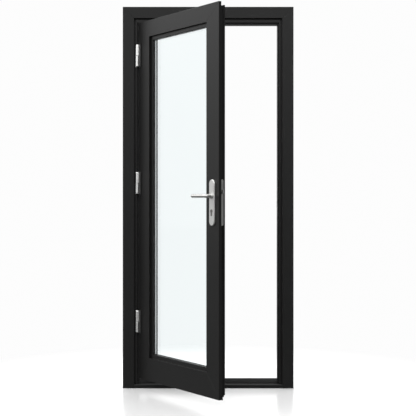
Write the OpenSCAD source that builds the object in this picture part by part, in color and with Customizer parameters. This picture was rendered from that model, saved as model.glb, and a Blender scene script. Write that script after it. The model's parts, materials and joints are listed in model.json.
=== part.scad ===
// Single glazed door in an aluminium frame, hung on three barrel hinges and drawn partly open.
// X runs along the doorway, Y from the front face to the back, Z up.
// The origin is on the floor, in the middle of the frame's foot.

/* [Frame] */
// Overall width of the frame
frame_w = 940; // [760:10:1200]
// Overall height of the frame
frame_h = 2100; // [1800:10:2600]
// Depth of the frame from front to back
frame_depth = 70; // [66:1:90]
// Width of the flat front face of the jambs and head
frame_face = 62; // [50:1:90]
// Wall of every extruded profile
wall = 2.2; // [1.8:0.1:2.4]
// Width of the hardware groove beside the face
groove_w = 9; // [8:0.5:12]
// Depth of the hardware groove behind the front face
groove_depth = 22; // [21:0.5:24]
// Width of the raised nib that carries the hinges
nib_w = 8; // [7:0.5:12]
// How far the nib lies behind the front face
nib_set = 9; // [8:0.5:11]
// Width of the stop that the leaf closes against
stop_w = 9; // [8:0.5:12]
// How much wider the nib is on the head than on the jambs
head_drop = 7; // [0:1:12]
// Diameter of the holes for the wall fixings
fixing_d = 8.6; // [6:0.2:10]
// Height of the lowest wall fixing
fixing_low = 300; // [200:10:400]

/* [Threshold] */
// Height of the threshold at its front edge
threshold_front = 20; // [12:1:26]
// Height of the ramp where it meets the upstand
threshold_back = 27; // [20:1:30]
// Height of the black upstand under the leaf
upstand_top = 49.5; // [36:0.5:50]
// Thickness of the upstand from front to back
upstand_t = 16; // [12:1:20]
// Diameter of the holes for the floor screws
floor_hole_d = 6.4; // [5:0.2:7]

/* [Leaf] */
// Angle at which the leaf is drawn open
open_angle = 56; // [0:1:90]
// Thickness of the leaf
leaf_t = 48; // [46:1:52]
// Air gap between the leaf and the nib
leaf_gap = 4; // [3:0.5:5]
// Height of the leaf's lower edge above the floor
leaf_floor_gap = 57; // [54:1:66]
// Face width of the two stiles
stile_w = 108; // [98:1:130]
// Face width of the top rail
top_rail_w = 88; // [76:1:120]
// Face width of the bottom rail
bottom_rail_w = 124; // [96:1:200]
// Thickness of the flange round the leaf
flange_t = 15; // [14:0.5:16]
// How far the leaf's body is set in from the flange on the stiles
body_step = 16; // [15:0.5:18]
// Width of the groove along the leaf's edge
edge_groove_w = 16.6; // [16.2:0.1:17]
// Depth of the groove along the leaf's edge
edge_groove_depth = 3; // [2.5:0.1:4]

/* [Glazing] */
// Thickness of each pane
pane_t = 4; // [3:0.5:6]
// Space between the two panes
pane_space = 8; // [7:0.5:12]
// Clearance between the glass edge and the profile
glass_clear = 5; // [4:0.5:6]
// Width of the glazing beads
bead_w = 22; // [20:0.5:26]
// Thickness of the glazing beads
bead_t = 11; // [7:0.5:12]
// Thickness of the gaskets on both sides of the glass
gasket_t = 3; // [2:0.5:4]
// Thickness of the lip behind the glass
lip_t = 3; // [2:0.5:4]
// Width of the lip behind the glass on the stiles
lip_w = 17; // [16:0.5:24]

/* [Hinges] */
// Length of a closed hinge
hinge_len = 120; // [100:2:140]
// Radius of the knuckle on the leaf
leaf_knuckle_r = 8.5; // [8:0.1:8.8]
// Radius of the knuckle on the frame
frame_knuckle_r = 7.8; // [7:0.1:8.2]
// Radius of the hinge pins
pin_r = 4; // [3:0.25:5]
// Distance of the hinge axis in front of the door's face
hinge_proj = 9; // [8.8:0.1:11]
// Thickness of the hinge wings
wing_t = 3; // [2:0.5:4]
// Height of the lowest hinge's centre
hinge_low = 369; // [250:1:420]
// Height of the middle hinge's centre
hinge_mid = 1130; // [900:1:1300]
// Distance of the top hinge's centre below the frame's top
hinge_drop = 270; // [180:1:400]

/* [Lock] */
// Height of the lever's axis
lever_h = 1057; // [950:1:1150]
// Distance of the lever's axis from the leaf's body edge
backset = 36; // [30:1:50]
// Distance from the lever's axis down to the cylinder's axis
cylinder_drop = 75; // [72:1:92]
// Length of the handle plates and of the faceplate
plate_len = 228; // [222:1:260]
// Width of the handle plates
plate_w = 43; // [36:1:50]
// Thickness of the handle plates
plate_t = 9; // [7:0.5:12]
// Thickness of the faceplate
faceplate_t = 3; // [2:0.5:3.5]
// Distance of the lever bar's middle from the leaf's face
lever_reach = 47; // [42:1:60]
// Radius of the lever bar
lever_r = 9.5; // [7:0.5:11]
// Length of the lever from its axis to its tip
lever_len = 120; // [100:1:140]
// How far the latch stands out of the faceplate
latch_out = 16; // [10:0.5:16]
// How far the dead bolt travels
bolt_throw = 20; // [12:0.5:20]
// Play of everything that turns or slides
running_gap = 0.05; // [0.03:0.01:0.08]
// Play between parts that are pushed together
assembly_gap = 0.2; // [0.1:0.05:0.3]

/* [Hidden] */
$fn = 48;

coat = [0.15, 0.15, 0.15];
steel = [0.78, 0.79, 0.80];
dark_rubber = [0.05, 0.05, 0.05];
grey_metal = [0.66, 0.67, 0.68];
clear_glass = [0.85, 0.95, 0.95, 0.35];

front_y = -frame_depth / 2;
nib_edge = frame_face + groove_w + nib_w;
stop_edge = nib_edge + stop_w;
stop_set = groove_depth - wall + 0.2;
leaf_edge = nib_edge + leaf_gap;
leaf_w = frame_w - 2 * leaf_edge;
leaf_h = frame_h - leaf_edge - head_drop - leaf_floor_gap;
axis_x = -frame_w / 2 + nib_edge + leaf_gap / 2;
axis_y = front_y - hinge_proj;
hinge_heights = [hinge_low, hinge_mid, frame_h - hinge_drop];
cut = 1;

top_scale = top_rail_w / stile_w;
bottom_scale = bottom_rail_w / stile_w;
lock_q = (flange_t + leaf_t) / 2 - 0.5;
glass_front = leaf_t - lip_t - gasket_t - pane_space - 2 * pane_t;
glass_t = pane_space + 2 * pane_t;
bead_front = glass_front - gasket_t - bead_t;

body_edge = leaf_w - body_step;
lever_w = body_edge - backset;
lever_z = lever_h - leaf_floor_gap;
cylinder_z = lever_z - cylinder_drop;
plate_drop = 33;
latch_rise = 21;
bolt_rise = 33;
plate_z = lever_z - plate_drop;
latch_z = lever_z + latch_rise;
bolt_z = cylinder_z + bolt_rise;

// ---------- placing ----------

// Puts children drawn from the frame's lower left front corner in their place
module in_frame() {
    translate([-frame_w / 2, front_y, 0]) children();
}

// Puts children drawn on the closed leaf, from its lower left front corner, on the opened leaf
module on_leaf() {
    translate([axis_x, axis_y, 0])
        rotate([0, 0, -open_angle])
            translate([leaf_gap / 2, hinge_proj, leaf_floor_gap]) children();
}

// One bar of a rectangular ring, with the section's first axis pointing inwards from the edge
module bar(side, w, h) {
    if (side == "left") {
        linear_extrude(h) children();
    }
    if (side == "right") {
        translate([w, 0, 0]) mirror([1, 0, 0]) linear_extrude(h) children();
    }
    if (side == "bottom") {
        translate([w, 0, 0]) rotate([0, -90, 0]) linear_extrude(w) children();
    }
    if (side == "top") {
        translate([w, 0, h]) mirror([0, 0, 1]) rotate([0, -90, 0]) linear_extrude(w) children();
    }
}

// A prism through the whole depth with its outline in the plane of the door
module door_prism(points, depth = 200) {
    translate([0, depth / 2, 0]) rotate([90, 0, 0]) linear_extrude(depth) polygon(points);
}

// The outline left to each bar of a ring by cuts from its outer corners to (x, z) further in
function mitre(side, w, h, x, z_low, z_high) =
    side == "left" ? [[0, 0], [x, z_low], [x, h - z_high], [0, h]] :
    side == "right" ? [[w, 0], [w - x, z_low], [w - x, h - z_high], [w, h]] :
    side == "bottom" ? [[0, 0], [w, 0], [w - x, z_low], [x, z_low]] :
    [[0, h], [w, h], [w - x, h - z_high], [x, h - z_high]];

// A block given by its lowest and highest corners
module block(low, high) {
    translate(low) cube(high - low);
}

// A rectangular ring in the leaf, set in by inset from the sight line
module glass_ring(inset, width, y_low, y_high) {
    low = [stile_w + inset, y_low, bottom_rail_w + inset];
    high = [leaf_w - stile_w - inset, y_high, leaf_h - top_rail_w - inset];
    difference() {
        block(low, high);
        block(low + [width, -cut, width], high + [-width, cut, -width]);
    }
}

// A cylinder along the leaf's thickness
module through(x, z, r, y_low, y_high) {
    translate([x, y_high, z]) rotate([90, 0, 0]) cylinder(r = r, h = y_high - y_low);
}

// A countersunk screw given as radius, length and head radius, its head's face at the origin, along -Z
module screw(size) {
    r = size[0];
    length = size[1];
    head_r = size[2];
    difference() {
        union() {
            translate([0, 0, -length]) cylinder(r = r, h = length);
            translate([0, 0, -head_r / 2]) cylinder(r1 = r, r2 = head_r, h = head_r / 2);
        }
        translate([0, 0, -head_r / 3]) cylinder(r = head_r / 2.4, h = head_r, $fn = 6);
    }
}

// The clearance hole of such a screw, with its countersink
module screw_hole(size) {
    r = size[0] + assembly_gap;
    length = size[1];
    head_r = size[2] + assembly_gap;
    translate([0, 0, -length]) cylinder(r = r, h = length + cut);
    translate([0, 0, -size[2] / 2]) cylinder(r1 = r, r2 = head_r, h = size[2] / 2);
    cylinder(r = head_r, h = cut);
}

// The close hole that the end of such a screw sits in
module pilot_hole(size) {
    depth = size[1] + 2;
    translate([0, 0, -depth]) cylinder(r = size[0] + running_gap, h = depth + cut);
}

// ---------- frame ----------

// Outline of the jambs, or of the head with its nib wider by drop
function frame_outline(drop) = [
    [0, 0], [frame_face, 0], [frame_face, groove_depth], [frame_face + groove_w, groove_depth],
    [frame_face + groove_w, nib_set], [nib_edge + drop, nib_set], [nib_edge + drop, stop_set],
    [stop_edge + drop, stop_set], [stop_edge + drop, frame_depth], [0, frame_depth]];

module frame_section(drop) {
    back = frame_depth - wall;
    inner = stop_edge + drop - wall;
    floor_d = groove_depth + wall;
    difference() {
        polygon(frame_outline(drop));
        polygon([[wall, wall], [frame_face - wall, wall], [frame_face - wall, floor_d],
            [inner, floor_d], [inner, back], [wall, back]]);
    }
}

// The corner cut between a jamb and the head, from the outer corner to the stop, as (x, depth below the top)
corner_cut = [[0, 0], [frame_face + groove_w, frame_face + groove_w], [nib_edge, nib_edge + head_drop],
    [stop_edge, stop_edge + head_drop]];

// What the corner cuts leave of the left or right jamb above z_low, or of the head
function frame_part(side, z_low = 0) =
    side == "left" ?
        concat([[0, z_low]], [for (p = corner_cut) [p[0], frame_h - p[1]]], [[stop_edge, z_low]]) :
    side == "right" ? [for (p = frame_part("left", z_low)) [frame_w - p[0], p[1]]] :
    concat([for (p = corner_cut) [p[0], frame_h - p[1]]],
        [for (i = [3:-1:0]) [frame_w - corner_cut[i][0], frame_h - corner_cut[i][1]]]);

fixing_y = frame_depth - 18;
fixing_step = (frame_h - 2 * fixing_low) / 2;

module jamb(side) {
    difference() {
        in_frame() intersection() {
            bar(side, frame_w, frame_h) frame_section(0);
            door_prism(frame_part(side), 4 * frame_depth);
        }
        for (i = [0:2]) {
            in_frame()
                translate([-cut, fixing_y, fixing_low + i * fixing_step])
                    rotate([0, 90, 0])
                        cylinder(d = fixing_d, h = frame_w + 2 * cut);
        }
        children();
    }
}

module hinge_jamb() {
    color(coat) jamb("left") frame_hinge_screw_places() pilot_hole(frame_screw);
}

module lock_jamb() {
    color(coat) jamb("right") {
        union() {
            strike_pocket(latch_z, latch_tall);
            strike_pocket(bolt_z, bolt_tall);
            strike_screw_places() pilot_hole(strike_screw);
        }
    }
}

module frame_head() {
    color(coat) in_frame() intersection() {
        bar("top", frame_w, frame_h) frame_section(head_drop);
        door_prism(frame_part("top"), 4 * frame_depth);
    }
}

cleat_reach = 40;
cleat_rib = 7;

// An L of two hollow legs that fills the chambers of two mitred bars
module cleat(x0, x1, z0, z1, y0, y1) {
    x_end = x1 + cleat_reach;
    z_end = z1 + cleat_reach;
    difference() {
        union() {
            block([x0, y0, z0], [x1, y1, z_end]);
            block([x0, y0, z0], [x_end, y1, z1]);
        }
        block([x0 + cleat_rib, y0 - cut, z1], [x1 - cleat_rib, y1 + cut, z_end - cleat_rib]);
        block([x1, y0 - cut, z0 + cleat_rib], [x_end - cleat_rib, y1 + cut, z1 - cleat_rib]);
        block([x0 + cleat_rib, y0 - cut, z0 + cleat_rib], [x1 - cleat_rib, y1 + cut, z1 - cleat_rib]);
    }
}

module frame_corner_cleats() {
    depth_margin = 10;
    low = wall + assembly_gap;
    high = frame_face - wall - assembly_gap;
    color(grey_metal) in_frame() for (right = [0, 1]) {
        translate([right * frame_w, 0, frame_h]) mirror([right, 0, 0]) mirror([0, 0, 1])
            cleat(low, high, low, high, wall + depth_margin, frame_depth - wall - depth_margin);
    }
}

upstand_y = leaf_t - upstand_t;
upstand_wall = 3;

// What a threshold section becomes between the two jambs, scribed round their profile
module between_jambs() {
    difference() {
        in_frame() translate([frame_w - frame_face, 0, 0]) rotate([0, -90, 0])
            linear_extrude(frame_w - 2 * frame_face) children();
        in_frame() for (side = ["left", "right"]) {
            bar(side, frame_w, frame_h) polygon(frame_outline(0));
        }
    }
}

module floor_holes(r) {
    for (x = [-1, 0, 1]) {
        translate([x * frame_w / 4, front_y + upstand_y / 2, -cut])
            cylinder(r = r, h = upstand_top + 2 * cut);
    }
}

// The threshold's sections have height first and depth second
module threshold_ramp() {
    floor_t = 3;
    nose = 2;
    seat_low = 4;
    color(coat) difference() {
        between_jambs() difference() {
            polygon([[0, 0], [threshold_front - nose, 0], [threshold_front, nose], [threshold_back, upstand_y],
                [seat_low, upstand_y], [seat_low, frame_depth], [0, frame_depth]]);
            polygon([[floor_t, wall], [threshold_front - wall, wall],
                [threshold_back - wall, upstand_y - wall], [floor_t, upstand_y - wall]]);
        }
        floor_holes(floor_hole_d / 2);
    }
}

module threshold_upstand() {
    base = 4;
    back_top = 20;
    edge_r = 3;
    inner_front = upstand_y + upstand_wall;
    inner_back = upstand_y + upstand_t - upstand_wall;
    inner_top = upstand_top - edge_r - wall;
    color(dark_rubber) between_jambs() difference() {
        polygon([[base, upstand_y], [upstand_top - edge_r, upstand_y], [upstand_top, upstand_y + edge_r],
            [upstand_top, upstand_y + upstand_t - edge_r], [upstand_top - edge_r, upstand_y + upstand_t],
            [back_top, upstand_y + upstand_t], [back_top, frame_depth], [base, frame_depth]]);
        polygon([[base + wall, inner_front], [inner_top, inner_front],
            [inner_top, inner_back], [back_top - wall, inner_back],
            [back_top - wall, frame_depth - upstand_wall], [base + wall, frame_depth - upstand_wall]]);
    }
}

seal_gap = 0.4;
seal_wall = 1.2;
seal_from_nib = 2;
seal_from_edge = 1;

// Hollow seal standing on the stop, just short of the closed leaf's flange
module stop_seal_section(drop) {
    left = nib_edge + drop + seal_from_nib;
    front = flange_t + seal_gap;
    size = [stop_w - seal_from_nib - seal_from_edge, stop_set - front];
    difference() {
        translate([left, front]) square(size);
        translate([left + seal_wall, front + seal_wall]) square(size - [2 * seal_wall, 2 * seal_wall]);
    }
}

module frame_gasket(side) {
    color(dark_rubber) in_frame() intersection() {
        bar(side, frame_w, frame_h) stop_seal_section(side == "top" ? head_drop : 0);
        door_prism(frame_part(side, leaf_floor_gap), 4 * frame_depth);
    }
}

// ---------- hinges ----------

bore_r = pin_r + running_gap;
washer_t = 1;
knuckle_gap = 0.3;
knuckle_round = 4;
knuckle_clear = 1.2;
leaf_wing_x = [frame_knuckle_r + knuckle_clear, leaf_gap / 2 + 24];
cover_t = wing_t + 3;

// A round knuckle from z 0 up, with a rounded far end and a blind bore from the near end
module knuckle(r, length, bore) {
    rotate_extrude() difference() {
        union() {
            square([r, length - knuckle_round]);
            square([r - knuckle_round, length]);
            translate([r - knuckle_round, length - knuckle_round]) intersection() {
                circle(knuckle_round);
                square(knuckle_round);
            }
        }
        translate([0, -cut]) square([bore, length - knuckle_round - 1 + cut]);
    }
}

// Places children at each hinge height, drawn from the closed hinge's axis and middle
module at_hinges(low = 0, high = 2) {
    for (i = [low:high]) {
        translate([0, 0, hinge_heights[i]]) children();
    }
}

module on_leaf_axis() {
    translate([axis_x, axis_y, 0]) rotate([0, 0, -open_angle]) children();
}

module on_frame_axis() {
    translate([axis_x, axis_y, 0]) children();
}

frame_wing_x = [-nib_w - leaf_gap / 2 + 0.2, -leaf_gap / 2];
frame_wing_y = hinge_proj + nib_set - wing_t;
half_len = hinge_len / 2;
hinge_screw_z = 44;
frame_screw_step = 26;
frame_screw = [1.9, 12, 3.6];
leaf_screw = [2.4, 16, 4.2];

module frame_hinge(i) {
    color(steel) difference() {
        on_frame_axis() at_hinges(i, i) union() {
            mirror([0, 0, 1]) translate([0, 0, washer_t / 2 + knuckle_gap])
                knuckle(frame_knuckle_r, half_len - washer_t / 2 - knuckle_gap, bore_r);
            block([frame_wing_x[0], frame_wing_y, -half_len],
                [frame_wing_x[1], frame_wing_y + wing_t, half_len]);
            difference() {
                block([frame_wing_x[0] + 1, 0, -half_len + knuckle_round],
                    [frame_wing_x[1], frame_wing_y + wing_t, -washer_t / 2 - knuckle_gap]);
                translate([0, 0, -half_len]) cylinder(r = bore_r, h = half_len);
            }
        }
        frame_hinge_screw_places() screw_hole(frame_screw);
    }
}

// The frame's hinge screws point back into the nib
module frame_hinge_screw_places() {
    on_frame_axis() at_hinges() for (z = [hinge_screw_z - frame_screw_step, hinge_screw_z]) {
        translate([(frame_wing_x[0] + frame_wing_x[1]) / 2, frame_wing_y, z]) rotate([90, 0, 0]) children();
    }
}

module frame_hinge_screws() {
    color(steel) frame_hinge_screw_places() screw(frame_screw);
}

module leaf_hinge(i) {
    x0 = leaf_wing_x[0];
    x1 = leaf_wing_x[1];
    color(steel) difference() {
        on_leaf_axis() at_hinges(i, i) union() {
            translate([0, 0, washer_t / 2]) knuckle(leaf_knuckle_r, half_len - washer_t / 2, bore_r);
            block([x0, hinge_proj - wing_t, -half_len], [x1, hinge_proj, half_len]);
            difference() {
                block([0, hinge_proj - cover_t, washer_t / 2],
                    [x0 + 1, hinge_proj - 0.5, half_len - knuckle_round]);
                cylinder(r = leaf_knuckle_r - 1, h = hinge_len);
            }
        }
        leaf_hinge_screw_places() screw_hole(leaf_screw);
    }
}

module leaf_hinge_screw_places() {
    on_leaf_axis() at_hinges() for (z = [-hinge_screw_z, 0, hinge_screw_z]) {
        translate([(leaf_wing_x[0] + leaf_wing_x[1]) / 2, hinge_proj - wing_t, z])
            rotate([90, 0, 0]) children();
    }
}

module leaf_hinge_screws() {
    color(steel) leaf_hinge_screw_places() screw(leaf_screw);
}

module hinge_pins() {
    reach = half_len - knuckle_round - 2;
    color(steel) on_leaf_axis() at_hinges() translate([0, 0, -reach]) cylinder(r = pin_r, h = 2 * reach);
}

module hinge_washers() {
    color(dark_rubber) on_leaf_axis() at_hinges() translate([0, 0, -washer_t / 2]) difference() {
        cylinder(r = frame_knuckle_r - 0.3, h = washer_t);
        translate([0, 0, -cut]) cylinder(r = bore_r, h = washer_t + 2 * cut);
    }
}

// Black caps pushed sideways over the leaf wings
module hinge_covers() {
    x0 = leaf_wing_x[0];
    x1 = leaf_wing_x[1];
    rim = 1.5;
    color(coat) on_leaf_axis() at_hinges() difference() {
        block([x0 + 1 + assembly_gap, hinge_proj - cover_t, -half_len - rim],
            [x1 + rim, hinge_proj, half_len + rim]);
        block([x0, hinge_proj - wing_t - assembly_gap, -half_len - assembly_gap],
            [x1 + assembly_gap, hinge_proj + cut, half_len + assembly_gap]);
    }
}

// ---------- leaf ----------

// Section of a leaf bar, its widths scaled so that the bars meet along the corner cut
module leaf_section(face, k) {
    step = body_step * k;
    lip = lip_w * k;
    g0 = lock_q - edge_groove_w / 2;
    g1 = lock_q + edge_groove_w / 2;
    gx = step + edge_groove_depth;
    difference() {
        polygon([[0, 0], [face, 0], [face, leaf_t - lip_t], [face + lip, leaf_t - lip_t],
            [face + lip, leaf_t], [step, leaf_t], [step, g1], [gx, g1], [gx, g0], [step, g0],
            [step, flange_t], [0, flange_t]]);
        polygon([[wall, wall], [face - wall, wall], [face - wall, leaf_t - wall],
            [step + wall, leaf_t - wall], [step + wall, g1 + wall], [gx + wall, g1 + wall],
            [gx + wall, g0 - wall], [step + wall, g0 - wall], [step + wall, flange_t - wall],
            [wall, flange_t - wall]]);
    }
}

module leaf_bar(side, face, k) {
    on_leaf() difference() {
        intersection() {
            bar(side, leaf_w, leaf_h) leaf_section(face, k);
            door_prism(mitre(side, leaf_w, leaf_h, stile_w + lip_w,
                bottom_scale * (stile_w + lip_w), top_scale * (stile_w + lip_w)));
        }
        children();
    }
}

module hinge_stile() {
    color(coat) difference() {
        leaf_bar("left", stile_w, 1);
        leaf_hinge_screw_places() pilot_hole(leaf_screw);
    }
}

module lock_stile() {
    color(coat) leaf_bar("right", stile_w, 1) lock_cutouts();
}

module top_rail() {
    color(coat) leaf_bar("top", top_rail_w, top_scale);
}

module bottom_rail() {
    color(coat) leaf_bar("bottom", bottom_rail_w, bottom_scale);
}

// Where a cleat ends beside the glass, in a bar whose neighbour is scaled by 1 / k
function cleat_end(face, k) = face - wall * max(1, k) - assembly_gap;

module leaf_corner_cleats() {
    groove_floor = edge_groove_depth + wall + assembly_gap;
    x0 = body_step + groove_floor;
    low_z = bottom_scale * body_step + groove_floor;
    top_z = top_scale * body_step + groove_floor;
    y0 = wall + assembly_gap;
    y1 = leaf_t - wall - assembly_gap;
    color(grey_metal) on_leaf() for (right = [0, 1]) {
        translate([right * leaf_w, 0, 0]) mirror([right, 0, 0]) {
            cleat(x0, cleat_end(stile_w, 1 / bottom_scale),
                low_z, cleat_end(bottom_rail_w, bottom_scale), y0, y1);
            translate([0, 0, leaf_h]) mirror([0, 0, 1])
                cleat(x0, cleat_end(stile_w, 1 / top_scale),
                    top_z, cleat_end(top_rail_w, top_scale), y0, y1);
        }
    }
}

// ---------- glazing ----------

module pane(y_low) {
    inset = glass_clear;
    color(clear_glass) on_leaf() block(
        [stile_w + inset, y_low, bottom_rail_w + inset],
        [leaf_w - stile_w - inset, y_low + pane_t, leaf_h - top_rail_w - inset]);
}

spacer_w = 8;
edge_seal_w = 4;

module spacer_bar() {
    y0 = glass_front + pane_t;
    color(grey_metal) on_leaf()
        glass_ring(glass_clear + edge_seal_w, spacer_w, y0, y0 + pane_space);
}

module pane_edge_seal() {
    y0 = glass_front + pane_t;
    color(dark_rubber) on_leaf() glass_ring(glass_clear, edge_seal_w, y0, y0 + pane_space);
}

module bead(side) {
    w = leaf_w - 2 * stile_w;
    h = leaf_h - bottom_rail_w - top_rail_w;
    bead_wall = 1.5;
    chamfer = 2;
    color(coat) on_leaf() translate([stile_w, 0, bottom_rail_w]) intersection() {
        bar(side, w, h) translate([0, bead_front]) difference() {
            polygon([[0, 0], [bead_w - chamfer, 0], [bead_w, chamfer], [bead_w, bead_t], [0, bead_t]]);
            translate([bead_wall, bead_wall])
                square([bead_w - bead_wall - 2 * chamfer, bead_t - 2 * bead_wall]);
        }
        door_prism(mitre(side, w, h, bead_w, bead_w, bead_w));
    }
}

gasket_inset = glass_clear + 1;
inner_gasket_w = 8;

module glazing_gasket(y_low, width) {
    color(dark_rubber) on_leaf() glass_ring(gasket_inset, width, y_low, y_low + gasket_t);
}

module outer_glazing_gasket() {
    glazing_gasket(glass_front - gasket_t, bead_w - gasket_inset);
}

module inner_glazing_gasket() {
    glazing_gasket(glass_front + glass_t, inner_gasket_w);
}

module glazing_packers() {
    length = 100;
    inset = 60;
    high_z = leaf_h - top_rail_w;
    y1 = glass_front + glass_t;
    color(grey_metal) on_leaf() for (right = [0, 1]) {
        x = right == 0 ? stile_w + inset : leaf_w - stile_w - inset - length;
        block([x, glass_front, bottom_rail_w], [x + length, y1, bottom_rail_w + glass_clear]);
        block([x, glass_front, high_z - glass_clear], [x + length, y1, high_z]);
        edge = right == 0 ? stile_w : leaf_w - stile_w - glass_clear;
        for (z = [bottom_rail_w + inset, high_z - inset - length]) {
            block([edge, glass_front, z], [edge + glass_clear, y1, z + length]);
        }
    }
}

// ---------- bottom seal ----------

carrier_h = 10;
wiper_gap = 0.6;
wiper_slot = 4;
carrier_z = bottom_scale * body_step;
wiper_y = leaf_t - 12;

wiper_margin = body_step + 6;

module seal_carrier() {
    margin = wiper_margin;
    y0 = flange_t + 3;
    y1 = leaf_t - 2;
    color(coat) on_leaf() difference() {
        block([margin, y0, carrier_z - carrier_h], [leaf_w - margin, y1, carrier_z]);
        block([margin - cut, y0 + wall, carrier_z - carrier_h + wall],
            [leaf_w - margin + cut, wiper_y - 2 * wall, carrier_z - wall]);
        block([margin - cut, wiper_y, carrier_z - carrier_h - cut],
            [leaf_w - margin + cut, wiper_y + wiper_slot, carrier_z - wall]);
    }
}

module bottom_wiper() {
    margin = wiper_margin;
    blade = 2.4;
    tip = upstand_top + wiper_gap - leaf_floor_gap;
    color(dark_rubber) on_leaf() {
        block([margin, wiper_y, carrier_z - carrier_h],
            [leaf_w - margin, wiper_y + wiper_slot, carrier_z - wall]);
        block([margin, wiper_y + (wiper_slot - blade) / 2, tip],
            [leaf_w - margin, wiper_y + (wiper_slot + blade) / 2, carrier_z - carrier_h + cut]);
    }
}

// ---------- lock ----------

case_t = 15;
case_wall = 1.5;
case_depth = 74;
case_low = cylinder_z - 34;
case_high = latch_z + 20;
case_x1 = body_edge - faceplate_t;
latch_tall = 20;
latch_thick = 11;
bolt_tall = 28;
bolt_thick = 11;
hub_r = 11;
spindle = 8;
plug_r = 6.5;
cylinder_round_r = 8.5;
cylinder_tab_w = 10;
cylinder_tall = 33;
cylinder_y = [-plate_t - 2, leaf_t + plate_t + 2];
cam_t = 9;
cam_r = 14;
way = 0.3;
face_screw = [2, 14, 3.6];
plate_screw = [2.5, 40, 4.6];
lock_screw = [2.5, backset - 1, 4.4];
lock_screw_z = cylinder_z - 18.5;

// The euro profile: a round barrel over a narrow tab, centred on the plug's axis
module euro_profile(gap = 0) {
    circle(cylinder_round_r + gap);
    tab = cylinder_tall - cylinder_round_r - cylinder_tab_w / 2;
    translate([-cylinder_tab_w / 2 - gap, -tab]) square([cylinder_tab_w + 2 * gap, tab]);
    translate([0, -tab]) circle(cylinder_tab_w / 2 + gap);
}

// Extrudes a shape drawn in the plane of the leaf, between two depths
module plan(x, z, y_low, y_high) {
    translate([x, y_high, z]) rotate([90, 0, 0]) linear_extrude(y_high - y_low) children();
}

post_r = 4;
post_inset = 16;
post_z = [plate_z - plate_len / 2 + post_inset, plate_z + plate_len / 2 - post_inset];

module lock_cutouts() {
    gap = 0.5;
    block([body_edge - edge_groove_depth - wall - cut, lock_q - case_t / 2 - gap / 2, case_low - gap],
        [body_edge + cut, lock_q + case_t / 2 + gap / 2, case_high + gap]);
    through(lever_w, lever_z, hub_r + 1, -cut, leaf_t + cut);
    plan(lever_w, cylinder_z, -cut, leaf_t + cut) euro_profile(0.5);
    for (z = post_z) {
        through(lever_w, z, post_r + 0.3, -cut, leaf_t + cut);
    }
    faceplate_screw_places() pilot_hole(face_screw);
}

// The faceplate's screws point into the leaf's edge
module faceplate_screw_places() {
    inset = 9;
    for (z = [plate_z - plate_len / 2 + inset, plate_z + plate_len / 2 - inset]) {
        translate([body_edge, lock_q, z]) rotate([0, 90, 0]) children();
    }
}

module lock_case() {
    y0 = lock_q - case_t / 2;
    y1 = lock_q + case_t / 2;
    color(grey_metal) on_leaf() difference() {
        block([case_x1 - case_depth, y0, case_low], [case_x1, y1, case_high]);
        block([case_x1 - case_depth + case_wall, y0 + case_wall, case_low + case_wall],
            [case_x1 - case_wall, y1 - case_wall, case_high - case_wall]);
        through(lever_w, lever_z, hub_r - 2 + running_gap, y0 - cut, y1 + cut);
        plan(lever_w, cylinder_z, y0 - cut, y1 + cut) euro_profile(0.3);
        latch_way(case_x1 - 2 * case_wall, case_x1 + cut);
        bolt_way(case_x1 - 2 * case_wall, case_x1 + cut);
        lock_screw_way(case_x1 - 2 * case_wall, case_x1 + cut);
    }
}

module latch_way(x0, x1) {
    block([x0, lock_q - latch_thick / 2 - way, latch_z - latch_tall / 2 - way],
        [x1, lock_q + latch_thick / 2 + way, latch_z + latch_tall / 2 + way]);
}

module bolt_way(x0, x1) {
    block([x0, lock_q - bolt_thick / 2 - way, bolt_z - bolt_tall / 2 - way],
        [x1, lock_q + bolt_thick / 2 + way, bolt_z + bolt_tall / 2 + way]);
}

module lock_screw_way(x0, x1) {
    translate([x0, lock_q, lock_screw_z]) rotate([0, 90, 0]) cylinder(r = lock_screw[0] + way, h = x1 - x0);
}

module lock_faceplate() {
    width = edge_groove_w - 2 * way;
    color(steel) on_leaf() difference() {
        union() {
            block([case_x1, lock_q - width / 2, plate_z - plate_len / 2 + width / 2],
                [body_edge, lock_q + width / 2, plate_z + plate_len / 2 - width / 2]);
            for (z = [plate_z - plate_len / 2 + width / 2, plate_z + plate_len / 2 - width / 2]) {
                translate([case_x1, lock_q, z]) rotate([0, 90, 0]) cylinder(d = width, h = faceplate_t);
            }
        }
        latch_way(case_x1 - cut, body_edge + cut);
        bolt_way(case_x1 - cut, body_edge + cut);
        translate([body_edge, lock_q, lock_screw_z]) rotate([0, 90, 0]) screw_hole(lock_screw);
        faceplate_screw_places() screw_hole(face_screw);
    }
}

module faceplate_screws() {
    color(steel) on_leaf() faceplate_screw_places() screw(face_screw);
}

module cylinder_screw() {
    color(steel) on_leaf() translate([body_edge, lock_q, lock_screw_z]) rotate([0, 90, 0]) screw(lock_screw);
}

// Plate with round ends, standing on the leaf's face at y 0 and reaching towards -Y;
// only the plate of the outer lever has the lever's hole
module handle_plate_shape(with_lever) {
    straight = plate_len / 2 - plate_w / 2;
    rim = 3;
    difference() {
        union() {
            for (layer = [[plate_w / 2, plate_t - rim], [plate_w / 2 - rim / 2, plate_t]]) {
                plan(lever_w, plate_z, -layer[1], 0) union() {
                    square([2 * layer[0], 2 * straight], center = true);
                    translate([0, straight]) circle(layer[0]);
                    translate([0, -straight]) circle(layer[0]);
                }
            }
        }
        if (with_lever) {
            through(lever_w, lever_z, lever_r + 1.5, -plate_t - cut, cut);
        }
        plan(lever_w, cylinder_z, -plate_t - cut, cut) euro_profile(0.4);
    }
}

// Moves a shape from the leaf's front face to its back face
module on_back() {
    translate([0, leaf_t, 0]) mirror([0, 1, 0]) children();
}

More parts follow.
